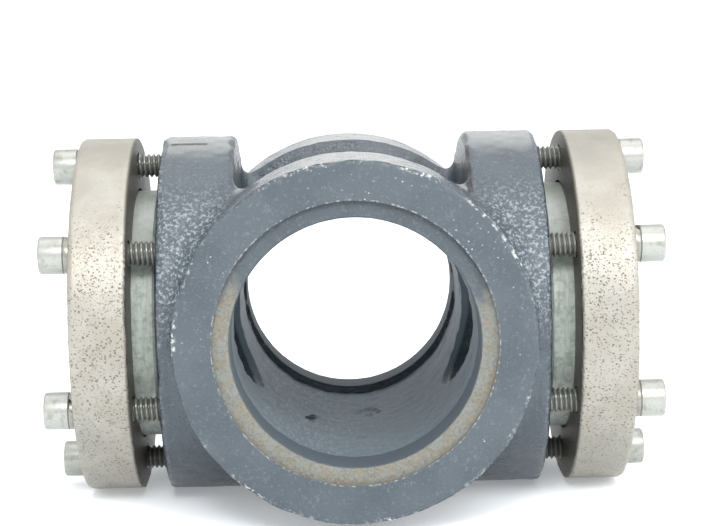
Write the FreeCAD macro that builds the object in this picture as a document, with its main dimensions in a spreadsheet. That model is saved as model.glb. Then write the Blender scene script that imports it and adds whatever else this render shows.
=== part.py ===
"""Double-window sight glass: a cast through body with two bolted side windows.

Frame, in millimetres: +Z is up, the flow runs along Y, the two windows face -X and +X, and the
origin is where the flow axis crosses the window axis.  Every piece that repeats on both windows is
drawn once for the +X side, and its -X copy is turned half a turn about Z.
"""

import FreeCAD
import Part

import os

import Sketcher

Vector = FreeCAD.Vector

# Driving sizes: alias, value, meaning.
SIZES = [
    ("half_length", 61.7, "origin to either end face, along the flow"),
    ("port_radius", 30.25, "machined flow bore at each end"),
    ("land_length", 13.4, "end face to the back of the machined bore"),
    ("seat_width", 4.15, "radial width of the gasket recess round each port"),
    ("seat_depth", 1.5, "depth of the gasket recess in each end face"),
    ("hub_rim", 9.75, "radial width of the end face outside the gasket recess"),
    ("waist_setback", 20.25, "rim of a window boss to the end of the waist, along the flow"),
    ("hub_round", 1.2, "rounding of each hub's outer rim"),
    ("cavity_play", 0.75, "cast chamber radius beyond the machined bore"),
    ("core_drop", 1.5, "how far the chamber's core sits below the flow axis"),
    ("waist_wall", 7.0, "casting wall under the chamber, between the hubs"),
    ("cast_fillet", 2.0, "fillet along the roots where hubs, waist and window bosses meet"),
    ("window_wall", 18.0, "chamber side to the machined face of a window boss"),
    ("boss_thickness", 19.3, "length of a window boss along the window axis"),
    ("boss_round", 2.0, "rounding of a window boss's two rims"),
    ("boss_margin", 7.65, "bolt circle to the rim of a window boss"),
    ("glass_radius", 32.85, "sight glass disc"),
    ("glass_thickness", 10.0, "sight glass disc"),
    ("glass_bevel", 0.6, "ground bevel on the sight glass edges"),
    ("glass_play", 0.6, "radial gap between the glass and the retainer recess"),
    ("gasket_thickness", 1.4, "sheet gasket on each side of a glass"),
    ("window_lap", 11.85, "radial lap of the glass on its body seat"),
    ("retainer_recess", 5.6, "depth of the glass recess in a retainer"),
    ("retainer_thickness", 14.4, "retainer ring"),
    ("retainer_margin", 7.3, "bolt circle to the rim of a retainer"),
    ("retainer_round", 1.8, "rounding of a retainer's outer rim"),
    ("view_lap", 9.85, "radial lap of a retainer over its glass"),
    ("view_bevel", 3.0, "bevel round the view opening of a retainer"),
    ("bolt_gap", 6.75, "glass edge to the bolt circle"),
    ("shank_radius", 3.175, "cap screw shank"),
    ("thread_play", 0.05, "radial gap between a shank and its tapped hole"),
    ("clearance_play", 0.35, "radial gap between a shank and its retainer hole"),
    ("thread_engagement", 14.93, "length of shank inside a window boss"),
    ("tip_gap", 1.07, "screw tip to the bottom of its tapped hole"),
    ("tip_bevel", 0.6, "bevel at a screw tip"),
    ("head_radius", 4.76, "cap screw head"),
    ("head_height", 6.35, "cap screw head"),
    ("head_bevel", 0.6, "bevel round the top of a head"),
    ("socket_flats", 4.76, "hex socket across flats"),
    ("socket_depth", 3.2, "hex socket"),
    ("washer_radius", 4.7, "spring lock washer"),
    ("washer_thickness", 1.57, "spring lock washer"),
    ("washer_play", 0.15, "radial gap between a lock washer and its shank"),
    ("washer_split", 1.1, "width of the cut through a lock washer"),
]

SCREWS = 6
FULL_TURN = 360
FIRST_SCREW_ANGLE = 90
SOCKET_TURN = 23
SPLIT_TURN = 77
TINY = 1e-9
SIDES = {"left": -1, "right": 1}

# Lengths worked out from the driving sizes, as expressions.
SEAT_RADIUS = "(Sizes.port_radius + Sizes.seat_width)"
HUB_RADIUS = f"({SEAT_RADIUS} + Sizes.hub_rim)"
CHAMBER_RADIUS = "(Sizes.port_radius + Sizes.cavity_play)"
CHAMBER_HALF = "(Sizes.half_length - Sizes.land_length)"
WAIST_RADIUS = f"({CHAMBER_RADIUS} + Sizes.core_drop + Sizes.waist_wall)"
BOLT_CIRCLE = "(Sizes.glass_radius + Sizes.bolt_gap)"
BOSS_RADIUS = f"({BOLT_CIRCLE} + Sizes.boss_margin)"
WAIST_HALF = f"({BOSS_RADIUS} - Sizes.waist_setback)"
BOSS_FACE = f"({CHAMBER_RADIUS} + Sizes.window_wall)"
BOSS_BACK = f"({BOSS_FACE} - Sizes.boss_thickness)"
WINDOW_RADIUS = "(Sizes.glass_radius - Sizes.window_lap)"
VIEW_RADIUS = "(Sizes.glass_radius - Sizes.view_lap)"
GLASS_BACK = f"({BOSS_FACE} + Sizes.gasket_thickness)"
GLASS_FRONT = f"({GLASS_BACK} + Sizes.glass_thickness)"
RECESS_FLOOR = f"({GLASS_FRONT} + Sizes.gasket_thickness)"
RECESS_RADIUS = "(Sizes.glass_radius + Sizes.glass_play)"
RETAINER_BACK = f"({RECESS_FLOOR} - Sizes.retainer_recess)"
RETAINER_FRONT = f"({RETAINER_BACK} + Sizes.retainer_thickness)"
RETAINER_RADIUS = f"({BOLT_CIRCLE} + Sizes.retainer_margin)"
HEAD_SEAT = f"({RETAINER_FRONT} + Sizes.washer_thickness)"
SCREW_TIP = f"({BOSS_FACE} - Sizes.thread_engagement)"
SCREW_LENGTH = f"({HEAD_SEAT} - {SCREW_TIP})"
TAPPED_DEPTH = "(Sizes.thread_engagement + Sizes.tip_gap)"


def make_sheet(doc):
    """Write the driving sizes into a spreadsheet, one alias to a row."""
    sheet = doc.addObject("Spreadsheet::Sheet", "Sizes")
    for row, (alias, number, meaning) in enumerate(SIZES, start=1):
        sheet.set(f"A{row}", meaning)
        sheet.set(f"B{row}", str(number))
        sheet.setAlias(f"B{row}", alias)
    doc.recompute()
    return sheet


def value(doc, expression):
    """Return the number that an expression has with the present sizes."""
    return float(doc.Sizes.evalExpression(expression.replace("Sizes.", "")))


def new_body(doc, name):
    """Add an empty body whose label is the sub-part's name."""
    body = doc.addObject("PartDesign::Body", name)
    body.Label = name
    return body


def datum(body, role):
    """Return the origin plane or axis of a body that has this role."""
    return next(item for item in body.Origin.OriginFeatures if item.Role == role)


def new_sketch(body, name, role, offset=None):
    """Add a sketch on an origin plane, moved along the plane's normal by an expression."""
    sketch = body.newObject("Sketcher::SketchObject", name)
    sketch.AttachmentSupport = [(datum(body, role), "")]
    sketch.MapMode = "FlatFace"
    if offset:
        sketch.setExpression("AttachmentOffset.Base.z", offset)
    return sketch


def pin(sketch, geometry, point, axis, expression):
    """Hold a point of a sketch at a signed distance from the sketch's origin."""
    number = value(sketch.Document, expression)
    if abs(number) < TINY:
        across = -2 if axis == "X" else -1
        sketch.addConstraint(Sketcher.Constraint("PointOnObject", geometry, point, across))
        return
    ends = (-1, 1, geometry, point) if number > 0 else (geometry, point, -1, 1)
    index = sketch.addConstraint(Sketcher.Constraint("Distance" + axis, *ends, abs(number)))
    sketch.setExpression(f"Constraints[{index}]", expression if number > 0 else f"-({expression})")


def draw_outline(sketch, corners):
    """Draw a closed outline of straight lines through corners given as pairs of expressions."""
    points = [Vector(value(sketch.Document, x), value(sketch.Document, y), 0) for x, y in corners]
    count = len(points)
    for index, start in enumerate(points):
        sketch.addGeometry(Part.LineSegment(start, points[(index + 1) % count]), False)
    for index in range(count):
        following = (index + 1) % count
        sketch.addConstraint(Sketcher.Constraint("Coincident", index, 2, following, 1))
    for index, (across, up) in enumerate(corners):
        pin(sketch, index, 1, "X", across)
        pin(sketch, index, 1, "Y", up)


def draw_circle(sketch, radius, across="0", up="0"):
    """Draw a circle whose radius and centre are expressions."""
    doc = sketch.Document
    centre = Vector(value(doc, across), value(doc, up), 0)
    circle = Part.Circle(centre, Vector(0, 0, 1), value(doc, radius))
    geometry = sketch.addGeometry(circle, False)
    pin(sketch, geometry, 3, "X", across)
    pin(sketch, geometry, 3, "Y", up)
    index = sketch.addConstraint(Sketcher.Constraint("Radius", geometry, value(doc, radius)))
    sketch.setExpression(f"Constraints[{index}]", radius)


def turned(body, kind, name, corners, axis):
    """Add a Revolution or a Groove of an outline drawn on the XY plane about a sketch axis."""
    sketch = new_sketch(body, name + "Outline", "XY_Plane")
    draw_outline(sketch, corners)
    feature = body.newObject("PartDesign::" + kind, name)
    feature.Profile = sketch
    feature.ReferenceAxis = (sketch, [axis])
    feature.Angle = FULL_TURN
    body.Document.recompute()
    return feature


def mirrored(body, feature, role):
    """Mirror one feature across an origin plane of its body."""
    mirror = body.newObject("PartDesign::Mirrored", feature.Name + "Mirror")
    mirror.Originals = [feature]
    mirror.MirrorPlane = (datum(body, role), [""])
    body.Tip = mirror
    body.Document.recompute()
    return mirror


def ringed(body, feature, count):
    """Repeat one feature evenly about the window axis."""
    pattern = body.newObject("PartDesign::PolarPattern", feature.Name + "Ring")
    pattern.Originals = [feature]
    pattern.Axis = (datum(body, "X_Axis"), [""])
    pattern.Angle = FULL_TURN
    pattern.Occurrences = count
    body.Tip = pattern
    body.Document.recompute()
    return pattern


def pocket(body, sketch, name, depth, reverse=False, midplane=False):
    """Cut a sketch into a body, and check that the cut took material away."""
    before = body.Shape.Volume
    feature = body.newObject("PartDesign::Pocket", name)
    feature.Profile = sketch
    feature.Reversed = reverse
    feature.Midplane = midplane
    feature.setExpression("Length", depth)
    body.Document.recompute()
    if feature.Shape.Volume >= before:
        raise RuntimeError(f"{name} cuts nothing from {body.Label}")
    return feature


def edge_names(shape, wanted):
    """Name the edges of a shape that a test picks out."""
    return [f"Edge{index}" for index, edge in enumerate(shape.Edges, start=1) if wanted(edge)]


def dressed(body, kind, name, size, wanted):
    """Add a Fillet or a Chamfer to the picked edges of a body's present shape."""
    base = body.Tip
    edges = edge_names(base.Shape, wanted)
    if not edges:
        raise RuntimeError(f"{name} finds no edge on {body.Label}")
    feature = body.newObject("PartDesign::" + kind, name)
    feature.Base = (base, edges)
    feature.setExpression("Radius" if kind == "Fillet" else "Size", size)
    body.Document.recompute()
    return feature


def is_circle(edge, radius, axis, place=None):
    """Tell whether an edge is an arc of this radius about an axis, at this place along it."""
    curve = edge.Curve
    if not isinstance(curve, Part.Circle):
        return False
    if abs(curve.Radius - radius) > 1e-4 or abs(abs(curve.Axis.dot(axis)) - 1) > 1e-6:
        return False
    return place is None or abs(abs(curve.Center.dot(axis)) - place) < 1e-4


def is_root(edge, boss_back, waist_radius, waist_half):
    """Tell whether an edge is a root where the hubs, the waist and the window bosses meet."""
    if is_circle(edge, waist_radius, Vector(0, 1, 0), waist_half):
        return True
    if isinstance(edge.Curve, Part.BSplineCurve):
        return True
    ends = edge.Vertexes
    straight = isinstance(edge.Curve, Part.Line) and len(ends) == 2
    return straight and all(abs(abs(end.X) - boss_back) < 1e-4 for end in ends)


def make_casting(doc):
    """Cast body: two hubs, a waist, two window bosses, ports, chamber and tapped holes."""
    body = new_body(doc, "body_casting")
    hubs = turned(
        body,
        "Revolution",
        "Hub",
        [
            ("0", "0"),
            (WAIST_RADIUS, "0"),
            (WAIST_RADIUS, WAIST_HALF),
            (HUB_RADIUS, WAIST_HALF),
            (HUB_RADIUS, "Sizes.half_length"),
            ("0", "Sizes.half_length"),
        ],
        "V_Axis",
    )
    mirrored(body, hubs, "XZ_Plane")
    boss = turned(
        body,
        "Revolution",
        "Boss",
        [
            (BOSS_BACK, "0"),
            (BOSS_FACE, "0"),
            (BOSS_FACE, BOSS_RADIUS),
            (BOSS_BACK, BOSS_RADIUS),
        ],
        "H_Axis",
    )
    mirrored(body, boss, "YZ_Plane")
    hub_radius = value(doc, HUB_RADIUS)
    boss_radius = value(doc, BOSS_RADIUS)
    half_length = value(doc, "Sizes.half_length")
    dressed(
        body,
        "Fillet",
        "HubRims",
        "Sizes.hub_round",
        lambda e: is_circle(e, hub_radius, Vector(0, 1, 0), half_length),
    )
    dressed(
        body,
        "Fillet",
        "BossRims",
        "Sizes.boss_round",
        lambda e: is_circle(e, boss_radius, Vector(1, 0, 0), value(doc, BOSS_FACE)),
    )
    roots = [value(doc, size) for size in (BOSS_BACK, WAIST_RADIUS, WAIST_HALF)]
    dressed(body, "Fillet", "Roots", "Sizes.cast_fillet", lambda e: is_root(e, *roots))
    port = turned(
        body,
        "Groove",
        "Port",
        [
            ("0", CHAMBER_HALF),
            ("Sizes.port_radius", CHAMBER_HALF),
            ("Sizes.port_radius", "Sizes.half_length - Sizes.seat_depth"),
            (SEAT_RADIUS, "Sizes.half_length - Sizes.seat_depth"),
            (SEAT_RADIUS, "Sizes.half_length"),
            ("0", "Sizes.half_length"),
        ],
        "V_Axis",
    )
    mirrored(body, port, "XZ_Plane")
    chamber = new_sketch(body, "ChamberOutline", "XZ_Plane")
    draw_circle(chamber, CHAMBER_RADIUS, "0", "-Sizes.core_drop")
    pocket(body, chamber, "Chamber", f"2 * {CHAMBER_HALF}", midplane=True)
    window = new_sketch(body, "WindowOutline", "YZ_Plane")
    draw_circle(window, WINDOW_RADIUS)
    pocket(body, window, "Windows", f"2 * {BOSS_FACE}", midplane=True)
    for side, sign in SIDES.items():
        name = side.capitalize() + "Tapped"
        outline = new_sketch(body, name + "Outline", "YZ_Plane", f"{sign} * {BOSS_FACE}")
        draw_circle(outline, "Sizes.shank_radius + Sizes.thread_play", "0", BOLT_CIRCLE)
        hole = pocket(body, outline, name, TAPPED_DEPTH, reverse=sign < 0)
        ringed(body, hole, SCREWS)
    return body


def make_disc(doc, name, radius, thickness, bevel):
    """A round disc along X that starts at its own origin, with bevelled edges."""
    body = new_body(doc, name)
    turned(
        body,
        "Revolution",
        "Disc",
        [
            ("0", "0"),
            (thickness, "0"),
            (thickness, f"{radius} - {bevel}"),
            (f"{thickness} - {bevel}", radius),
            (bevel, radius),
            ("0", f"{radius} - {bevel}"),
        ],
        "H_Axis",
    )
    return body


def make_ring(doc, name, outer, inner, thickness):
    """A flat ring along X that starts at its own origin."""
    body = new_body(doc, name)
    turned(
        body,
        "Revolution",
        "Ring",
        [("0", inner), (thickness, inner), (thickness, outer), ("0", outer)],
        "H_Axis",
    )
    return body


def make_retainer(doc, name):
    """Retainer ring: glass recess behind, bevelled view opening, and clearance holes."""
    body = new_body(doc, name)
    turned(
        body,
        "Revolution",
        "Retainer",
        [
            ("0", RECESS_RADIUS),
            ("Sizes.retainer_recess", RECESS_RADIUS),
            ("Sizes.retainer_recess", VIEW_RADIUS),
            ("Sizes.retainer_thickness - Sizes.view_bevel", VIEW_RADIUS),
            ("Sizes.retainer_thickness", f"{VIEW_RADIUS} + Sizes.view_bevel"),
            ("Sizes.retainer_thickness", RETAINER_RADIUS),
            ("0", RETAINER_RADIUS),
        ],
        "H_Axis",
    )
    radius = value(doc, RETAINER_RADIUS)
    dressed(
        body,
        "Fillet",
        "Rims",
        "Sizes.retainer_round",
        lambda e: is_circle(e, radius, Vector(1, 0, 0)),
    )
    outline = new_sketch(body, "ScrewHoleOutline", "YZ_Plane", "Sizes.retainer_thickness")
    draw_circle(outline, "Sizes.shank_radius + Sizes.clearance_play", "0", BOLT_CIRCLE)
    hole = pocket(body, outline, "ScrewHole", "Sizes.retainer_thickness")
    ringed(body, hole, SCREWS)
    return body


def make_screw(doc, name):
    """Socket head cap screw along X: tip at its own origin, hex socket in the far end."""
    body = new_body(doc, name)
    top = f"({SCREW_LENGTH} + Sizes.head_height)"
    turned(
        body,
        "Revolution",
        "Screw",
        [
            ("0", "0"),
            (top, "0"),
            (top, "Sizes.head_radius - Sizes.head_bevel"),
            (f"{top} - Sizes.head_bevel", "Sizes.head_radius"),
            (SCREW_LENGTH, "Sizes.head_radius"),
            (SCREW_LENGTH, "Sizes.shank_radius"),
            ("Sizes.tip_bevel", "Sizes.shank_radius"),
            ("0", "Sizes.shank_radius - Sizes.tip_bevel"),
        ],
        "H_Axis",
    )
    socket = new_sketch(body, "SocketOutline", "YZ_Plane", top)
    corner = "Sizes.socket_flats / sqrt(3)"
    angles = range(0, FULL_TURN, FULL_TURN // 6)
    draw_outline(socket, [(f"{corner} * cos({a})", f"{corner} * sin({a})") for a in angles])
    pocket(body, socket, "Socket", "Sizes.socket_depth")
    return body


def make_lock_washer(doc, name):
    """Spring lock washer along X: a square-section ring with one straight cut through it."""
    inner = "(Sizes.shank_radius + Sizes.washer_play)"
    body = make_ring(doc, name, "Sizes.washer_radius", inner, "Sizes.washer_thickness")
    split = new_sketch(body, "SplitOutline", "YZ_Plane", "Sizes.washer_thickness")
    half = "Sizes.washer_split / 2"
    draw_outline(
        split,
        [
            ("0", f"-{half}"),
            ("2 * Sizes.washer_radius", f"-{half}"),
            ("2 * Sizes.washer_radius", half),
            ("0", half),
        ],
    )
    pocket(body, split, "Split", "Sizes.washer_thickness")
    return body


def place(body, sign, along, angle=None, spin=0):
    """Put a piece on the window axis, or on the bolt circle, on one side of the casting."""
    facing = FreeCAD.Rotation(Vector(0, 0, 1), 0 if sign > 0 else FULL_TURN / 2)
    turn = FreeCAD.Rotation(Vector(1, 0, 0), spin)
    body.Placement = FreeCAD.Placement(Vector(0, 0, 0), facing * turn)
    body.setExpression("Placement.Base.x", f"{sign} * {along}")
    if angle is not None:
        body.setExpression("Placement.Base.y", f"{BOLT_CIRCLE} * cos({angle})")
        body.setExpression("Placement.Base.z", f"{BOLT_CIRCLE} * sin({angle})")


def make_window(doc, side, sign):
    """Every loose piece of one window, from the casting outwards."""
    gasket = "Sizes.gasket_thickness"
    glass = "Sizes.glass_radius"
    inner = make_ring(doc, f"{side}_inner_gasket", glass, WINDOW_RADIUS, gasket)
    place(inner, sign, BOSS_FACE)
    disc = make_disc(
        doc, f"{side}_glass", glass, "Sizes.glass_thickness", "Sizes.glass_bevel"
    )
    place(disc, sign, GLASS_BACK)
    cushion = make_ring(doc, f"{side}_cushion_gasket", glass, VIEW_RADIUS, gasket)
    place(cushion, sign, GLASS_FRONT)
    retainer = make_retainer(doc, f"{side}_retainer")
    place(retainer, sign, RETAINER_BACK)
    pieces = [inner, disc, cushion, retainer]
    for index in range(SCREWS):
        angle = FIRST_SCREW_ANGLE - index * FULL_TURN // SCREWS
        washer = make_lock_washer(doc, f"{side}_lock_washer_{index + 1}")
        place(washer, sign, RETAINER_FRONT, angle, SPLIT_TURN * (index + 1))
        screw = make_screw(doc, f"{side}_screw_{index + 1}")
        place(screw, sign, SCREW_TIP, angle, SOCKET_TURN * (index + 1))
        pieces += [washer, screw]
    return pieces


def check(doc, pieces):
    """Refuse a document with a failed feature or a piece that is not one valid solid."""
    for item in doc.Objects:
        if "Invalid" in item.State or "Error" in item.State:
            raise RuntimeError(f"{item.Name} failed: {item.State}")
    for piece in pieces:
        shape = piece.Shape
        if shape.isNull() or not shape.isValid() or len(shape.Solids) != 1:
            raise RuntimeError(f"{piece.Label} is not one valid solid")


def main():
    """Build the assembly and write one STEP file for each piece."""
    doc = FreeCAD.newDocument("sight_glass")
    make_sheet(doc)
    pieces = [make_casting(doc)]
    for side, sign in SIDES.items():
        pieces += make_window(doc, side, sign)
    doc.recompute()
    check(doc, pieces)
    os.makedirs("parts", exist_ok=True)
    for piece in pieces:
        piece.Shape.exportStep(f"parts/{piece.Label}.step")
    print(f"{len(pieces)} pieces written")


main()
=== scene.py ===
"""Double-window sight glass: cast body, side windows and fasteners, built round the fixed frame.

Lengths are in metres.  The flow runs along Y, the windows face -X and +X, and +Z is up.
"""

import itertools
import logging
import math
from collections.abc import Callable, Sequence
from dataclasses import dataclass, field
from enum import Enum

import bpy
import numpy as np
from mathutils import Matrix, Vector

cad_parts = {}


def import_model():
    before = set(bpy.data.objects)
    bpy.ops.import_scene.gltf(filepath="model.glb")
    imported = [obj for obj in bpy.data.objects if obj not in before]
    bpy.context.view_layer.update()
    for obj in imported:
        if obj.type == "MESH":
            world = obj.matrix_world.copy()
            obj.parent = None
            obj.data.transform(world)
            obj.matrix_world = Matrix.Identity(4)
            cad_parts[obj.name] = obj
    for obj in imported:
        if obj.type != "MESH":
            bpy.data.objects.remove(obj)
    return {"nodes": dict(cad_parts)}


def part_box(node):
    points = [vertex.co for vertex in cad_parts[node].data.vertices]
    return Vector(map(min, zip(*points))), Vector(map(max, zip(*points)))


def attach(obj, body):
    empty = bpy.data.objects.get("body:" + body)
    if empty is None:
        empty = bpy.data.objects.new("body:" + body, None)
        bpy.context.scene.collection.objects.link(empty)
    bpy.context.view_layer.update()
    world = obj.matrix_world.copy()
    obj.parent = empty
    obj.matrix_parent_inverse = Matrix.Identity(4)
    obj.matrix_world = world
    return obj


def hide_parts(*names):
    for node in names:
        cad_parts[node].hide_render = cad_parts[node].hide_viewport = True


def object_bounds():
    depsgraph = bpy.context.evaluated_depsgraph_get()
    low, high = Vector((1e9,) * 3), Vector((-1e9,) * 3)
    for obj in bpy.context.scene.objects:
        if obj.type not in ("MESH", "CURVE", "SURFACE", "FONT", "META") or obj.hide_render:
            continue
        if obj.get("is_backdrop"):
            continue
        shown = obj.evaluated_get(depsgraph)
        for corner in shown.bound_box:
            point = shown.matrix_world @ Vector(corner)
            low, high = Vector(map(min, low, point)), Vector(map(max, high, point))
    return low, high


LOG = logging.getLogger("sight_glass")
MM = 0.001
ROOT_BODY = "root"
ROOT_MARK = "thread_root"
TINY = 1e-9
SCREWS = 6
HEX_SIDES = 6
BOLT_CIRCLE = 39.6 * MM
WINDOW_RADIUS = 21.0 * MM
VIEW_RADIUS = 23.0 * MM
Colour = tuple[float, float, float]
Distance = Callable[[np.ndarray], np.ndarray]


class Side(Enum):
    """The two windows, by the direction that they face along X."""

    LEFT = -1
    RIGHT = 1

    @property
    def label(self) -> str:
        """The side's name as the nodes spell it."""
        return self.name.lower()


class Slot(Enum):
    """The record's material slots."""

    CASTING = "casting_paint"
    GLASS = "sight_glass"
    GASKET = "gasket_sheet"
    RETAINER = "retainer_zinc"
    SCREW = "screw_zinc"
    WASHER = "washer_zinc"


def srgb(red: int, green: int, blue: int) -> Colour:
    """Turn screen levels from 0 to 255 into a linear colour."""
    shares = [level / 255 for level in (red, green, blue)]
    linear = [c / 12.92 if c <= 0.04045 else ((c + 0.055) / 1.055) ** 2.4 for c in shares]
    return (linear[0], linear[1], linear[2])


# --- Shape maths ---

HASH_STEPS = np.array([73856093, 19349663, 83492791], dtype=np.uint64)
HASH_SEED = np.uint64(2654435761)
HASH_SPREAD = np.uint64(668265263)
HASH_MASK = np.uint64(0xFFFFFFFF)
HASH_SHIFT = np.uint64(15)
NOISE_SHIFT = 1000.0


def hashed(cells: np.ndarray, seed: int) -> np.ndarray:
    """Give each lattice cell a fixed number.

    Args:
        cells: whole cell coordinates, one row to a cell.
        seed: picks one of many unlike lattices.

    Returns:
        One number from -1 to 1 to a cell.
    """
    key = (cells.astype(np.uint64) * HASH_STEPS).sum(axis=1) + HASH_SEED * np.uint64(seed + 1)
    key &= HASH_MASK
    key ^= key >> HASH_SHIFT
    key = (key * HASH_SPREAD) & HASH_MASK
    key ^= key >> HASH_SHIFT
    return key.astype(float) / float(HASH_MASK) * 2 - 1


def lattice_noise(points: np.ndarray, cell: float, seed: int) -> np.ndarray:
    """Smooth noise with lumps about the size of a cell.

    Args:
        points: places in metres, one row each.
        cell: lattice pitch in metres.
        seed: picks the lattice.

    Returns:
        Noise from -1 to 1 at each point.
    """
    scaled = points / cell + NOISE_SHIFT
    base = np.floor(scaled)
    part = scaled - base
    part = part * part * (3 - 2 * part)
    total = np.zeros(len(points))
    for corner in itertools.product((0, 1), repeat=3):
        weight = np.prod(np.where(np.array(corner, bool), part, 1 - part), axis=1)
        total += weight * hashed(base + np.array(corner), seed)
    return total


def layered_noise(
    points: np.ndarray, layers: Sequence[tuple[float, float]], seed: int
) -> np.ndarray:
    """Add up smooth noises, given as (cell, share) pairs, on lattices numbered from a seed."""
    pairs = enumerate(layers, seed)
    return sum(share * lattice_noise(points, cell, number) for number, (cell, share) in pairs)


def smooth_min(first: np.ndarray, second: np.ndarray, reach: float) -> np.ndarray:
    """Join two solids, given by their distances, with a fillet about as large as reach."""
    gap = np.maximum(reach - np.abs(first - second), 0.0)
    return np.minimum(first, second) - gap * gap / (4 * reach)


def round_profile(
    radial: np.ndarray,
    axial: np.ndarray,
    reach: float,
    low: float,
    high: float,
    rounding: float | np.ndarray,
) -> np.ndarray:
    """Distance to a turned disc or plug with rounded rims.

    Args:
        radial: distance of each point from the turning axis.
        axial: place of each point along that axis.
        reach: the solid's radius.
        low: its lower end along the axis.
        high: its upper end along the axis.
        rounding: radius of its rims, one number or one to a point.

    Returns:
        Signed distance, negative inside.
    """
    outward = radial - reach + rounding
    beyond = np.maximum(low - axial, axial - high) + rounding
    outside = np.hypot(np.maximum(outward, 0), np.maximum(beyond, 0))
    return outside + np.minimum(np.maximum(outward, beyond), 0) - rounding


@dataclass
class Contourer:
    """Turns a solid, given as a signed distance, into quads that keep its sharp edges.

    The surface crosses some edges of a regular grid.  Each cell it passes through gets one vertex,
    placed where the surface's tangent planes at the cell's crossings meet.
    """

    low: Vector
    high: Vector
    step: float
    pull: float = 0.06
    probe: float = 0.02 * MM
    least_lean: float = 0.2
    margin: int = 2

    def mesh(self, distance: Distance) -> tuple[np.ndarray, np.ndarray]:
        """Mesh the surface where a distance is zero.

        Args:
            distance: signed distance at each row of points, negative inside.

        Returns:
            Vertices in metres, and quads as rows of four vertex numbers.
        """
        origin = np.array(self.low) - self.margin * self.step
        span = np.array(self.high) - np.array(self.low)
        counts = np.ceil(span / self.step).astype(int) + 2 * self.margin + 1
        values = self._sample(distance, origin, counts)
        crossings = [self._crossings(values, axis) for axis in range(3)]
        cells, places, normals = [], [], []
        for axis, (corner, share, _) in enumerate(crossings):
            point = origin + (corner + share[:, None] * np.eye(3)[axis]) * self.step
            place, normal = self._refine(distance, point, axis)
            for shift in self._neighbours(axis):
                cells.append(corner + shift)
                places.append(place)
                normals.append(normal)
        keys = np.ravel_multi_index(np.concatenate(cells).T, counts)
        used, number = np.unique(keys, return_inverse=True)
        planes = np.concatenate(places), np.concatenate(normals)
        verts = self._solve(number, *planes)
        floor = origin + np.stack(np.unravel_index(used, counts), 1) * self.step
        verts = np.clip(verts, floor, floor + self.step)
        quads, start = [], 0
        for corner, _, rising in crossings:
            end = start + 4 * len(corner)
            ring = number[start:end].reshape(4, -1).T
            quads.append(np.where(rising[:, None], ring, ring[:, ::-1]))
            start = end
        return verts, np.concatenate(quads)

    def _sample(self, distance: Distance, origin: np.ndarray, counts: np.ndarray) -> np.ndarray:
        """Evaluate the distance on the whole grid, one slab at a time.

        Args:
            distance: signed distance at each row of points.
            origin: the grid's low corner.
            counts: grid points along each axis.

        Returns:
            The distance at every grid point.
        """
        across, up = np.meshgrid(np.arange(counts[1]), np.arange(counts[2]), indexing="ij")
        slab = np.stack([np.zeros(across.size), across.ravel(), up.ravel()], 1)
        values = np.empty(counts)
        for index in range(counts[0]):
            slab[:, 0] = index
            values[index] = distance(origin + slab * self.step).reshape(counts[1:])
        return values

    @staticmethod
    def _crossings(values: np.ndarray, axis: int) -> tuple[np.ndarray, np.ndarray, np.ndarray]:
        """Find the grid edges along one axis that the surface crosses.

        Args:
            values: the distance at every grid point.
            axis: number of the axis.

        Returns:
            The lower corner of each such edge, how far along it the crossing is, and whether the
            edge leaves the solid.
        """
        first = np.moveaxis(values, axis, 0)[:-1]
        second = np.moveaxis(values, axis, 0)[1:]
        found = np.argwhere((first < 0) != (second < 0))
        start, end = first[tuple(found.T)], second[tuple(found.T)]
        corner = np.empty_like(found)
        corner[:, axis] = found[:, 0]
        others = [other for other in range(3) if other != axis]
        corner[:, others] = found[:, 1:]
        return corner, start / (start - end), start < 0

    @staticmethod
    def _neighbours(axis: int) -> list[np.ndarray]:
        """Offsets from an edge's lower corner to the four cells round it, in turning order."""
        units = np.eye(3, dtype=int)
        second, third = units[(axis + 1) % 3], units[(axis + 2) % 3]
        return [-second - third, -third, np.zeros(3, dtype=int), -second]

    def _refine(
        self, distance: Distance, point: np.ndarray, axis: int
    ) -> tuple[np.ndarray, np.ndarray]:
        """Slide each crossing onto the surface and read the surface's normal there.

        Args:
            distance: signed distance at each row of points.
            point: the crossings, found by straight lines between grid points.
            axis: number of the axis that they may slide along.

        Returns:
            The moved crossings and their normals.
        """
        slope = np.empty_like(point)
        for index, offset in enumerate(np.eye(3) * self.probe):
            slope[:, index] = distance(point + offset) - distance(point - offset)
        normal = slope / np.maximum(np.linalg.norm(slope, axis=1, keepdims=True), TINY)
        facing = normal[:, axis]
        shallow = np.abs(facing) < self.least_lean
        lean = np.where(shallow, self.least_lean * np.sign(facing + TINY), facing)
        move = np.clip(distance(point) / lean, -self.step / 2, self.step / 2)
        place = point.copy()
        place[:, axis] -= move
        return place, normal

    def _solve(self, number: np.ndarray, places: np.ndarray, normals: np.ndarray) -> np.ndarray:
        """Place one vertex in each used cell by least squares on its tangent planes.

        Args:
            number: which vertex each plane belongs to.
            places: a point on each plane.
            normals: each plane's normal.

        Returns:
            The vertices.
        """
        count = np.bincount(number)
        middle = np.stack([np.bincount(number, places[:, k]) / count for k in range(3)], 1)
        offset = ((places - middle[number]) * normals).sum(1)
        square = np.empty((len(count), 3, 3))
        right = np.empty((len(count), 3))
        for row in range(3):
            right[:, row] = np.bincount(number, normals[:, row] * offset)
            for column in range(3):
                square[:, row, column] = np.bincount(number, normals[:, row] * normals[:, column])
        square += np.eye(3) * self.pull
        return middle + np.linalg.solve(square, right[:, :, None])[:, :, 0]


def circle(segments: int) -> np.ndarray:
    """Even angles once round."""
    return np.arange(segments) / segments * math.tau


def spun(
    along: float | np.ndarray, radius: float | np.ndarray, angle: float | np.ndarray
) -> np.ndarray:
    """Points at places along X, turned about it at a radius by angles."""
    parts = along, radius * np.cos(angle), radius * np.sin(angle)
    return np.stack(np.broadcast_arrays(*parts), -1)


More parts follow.
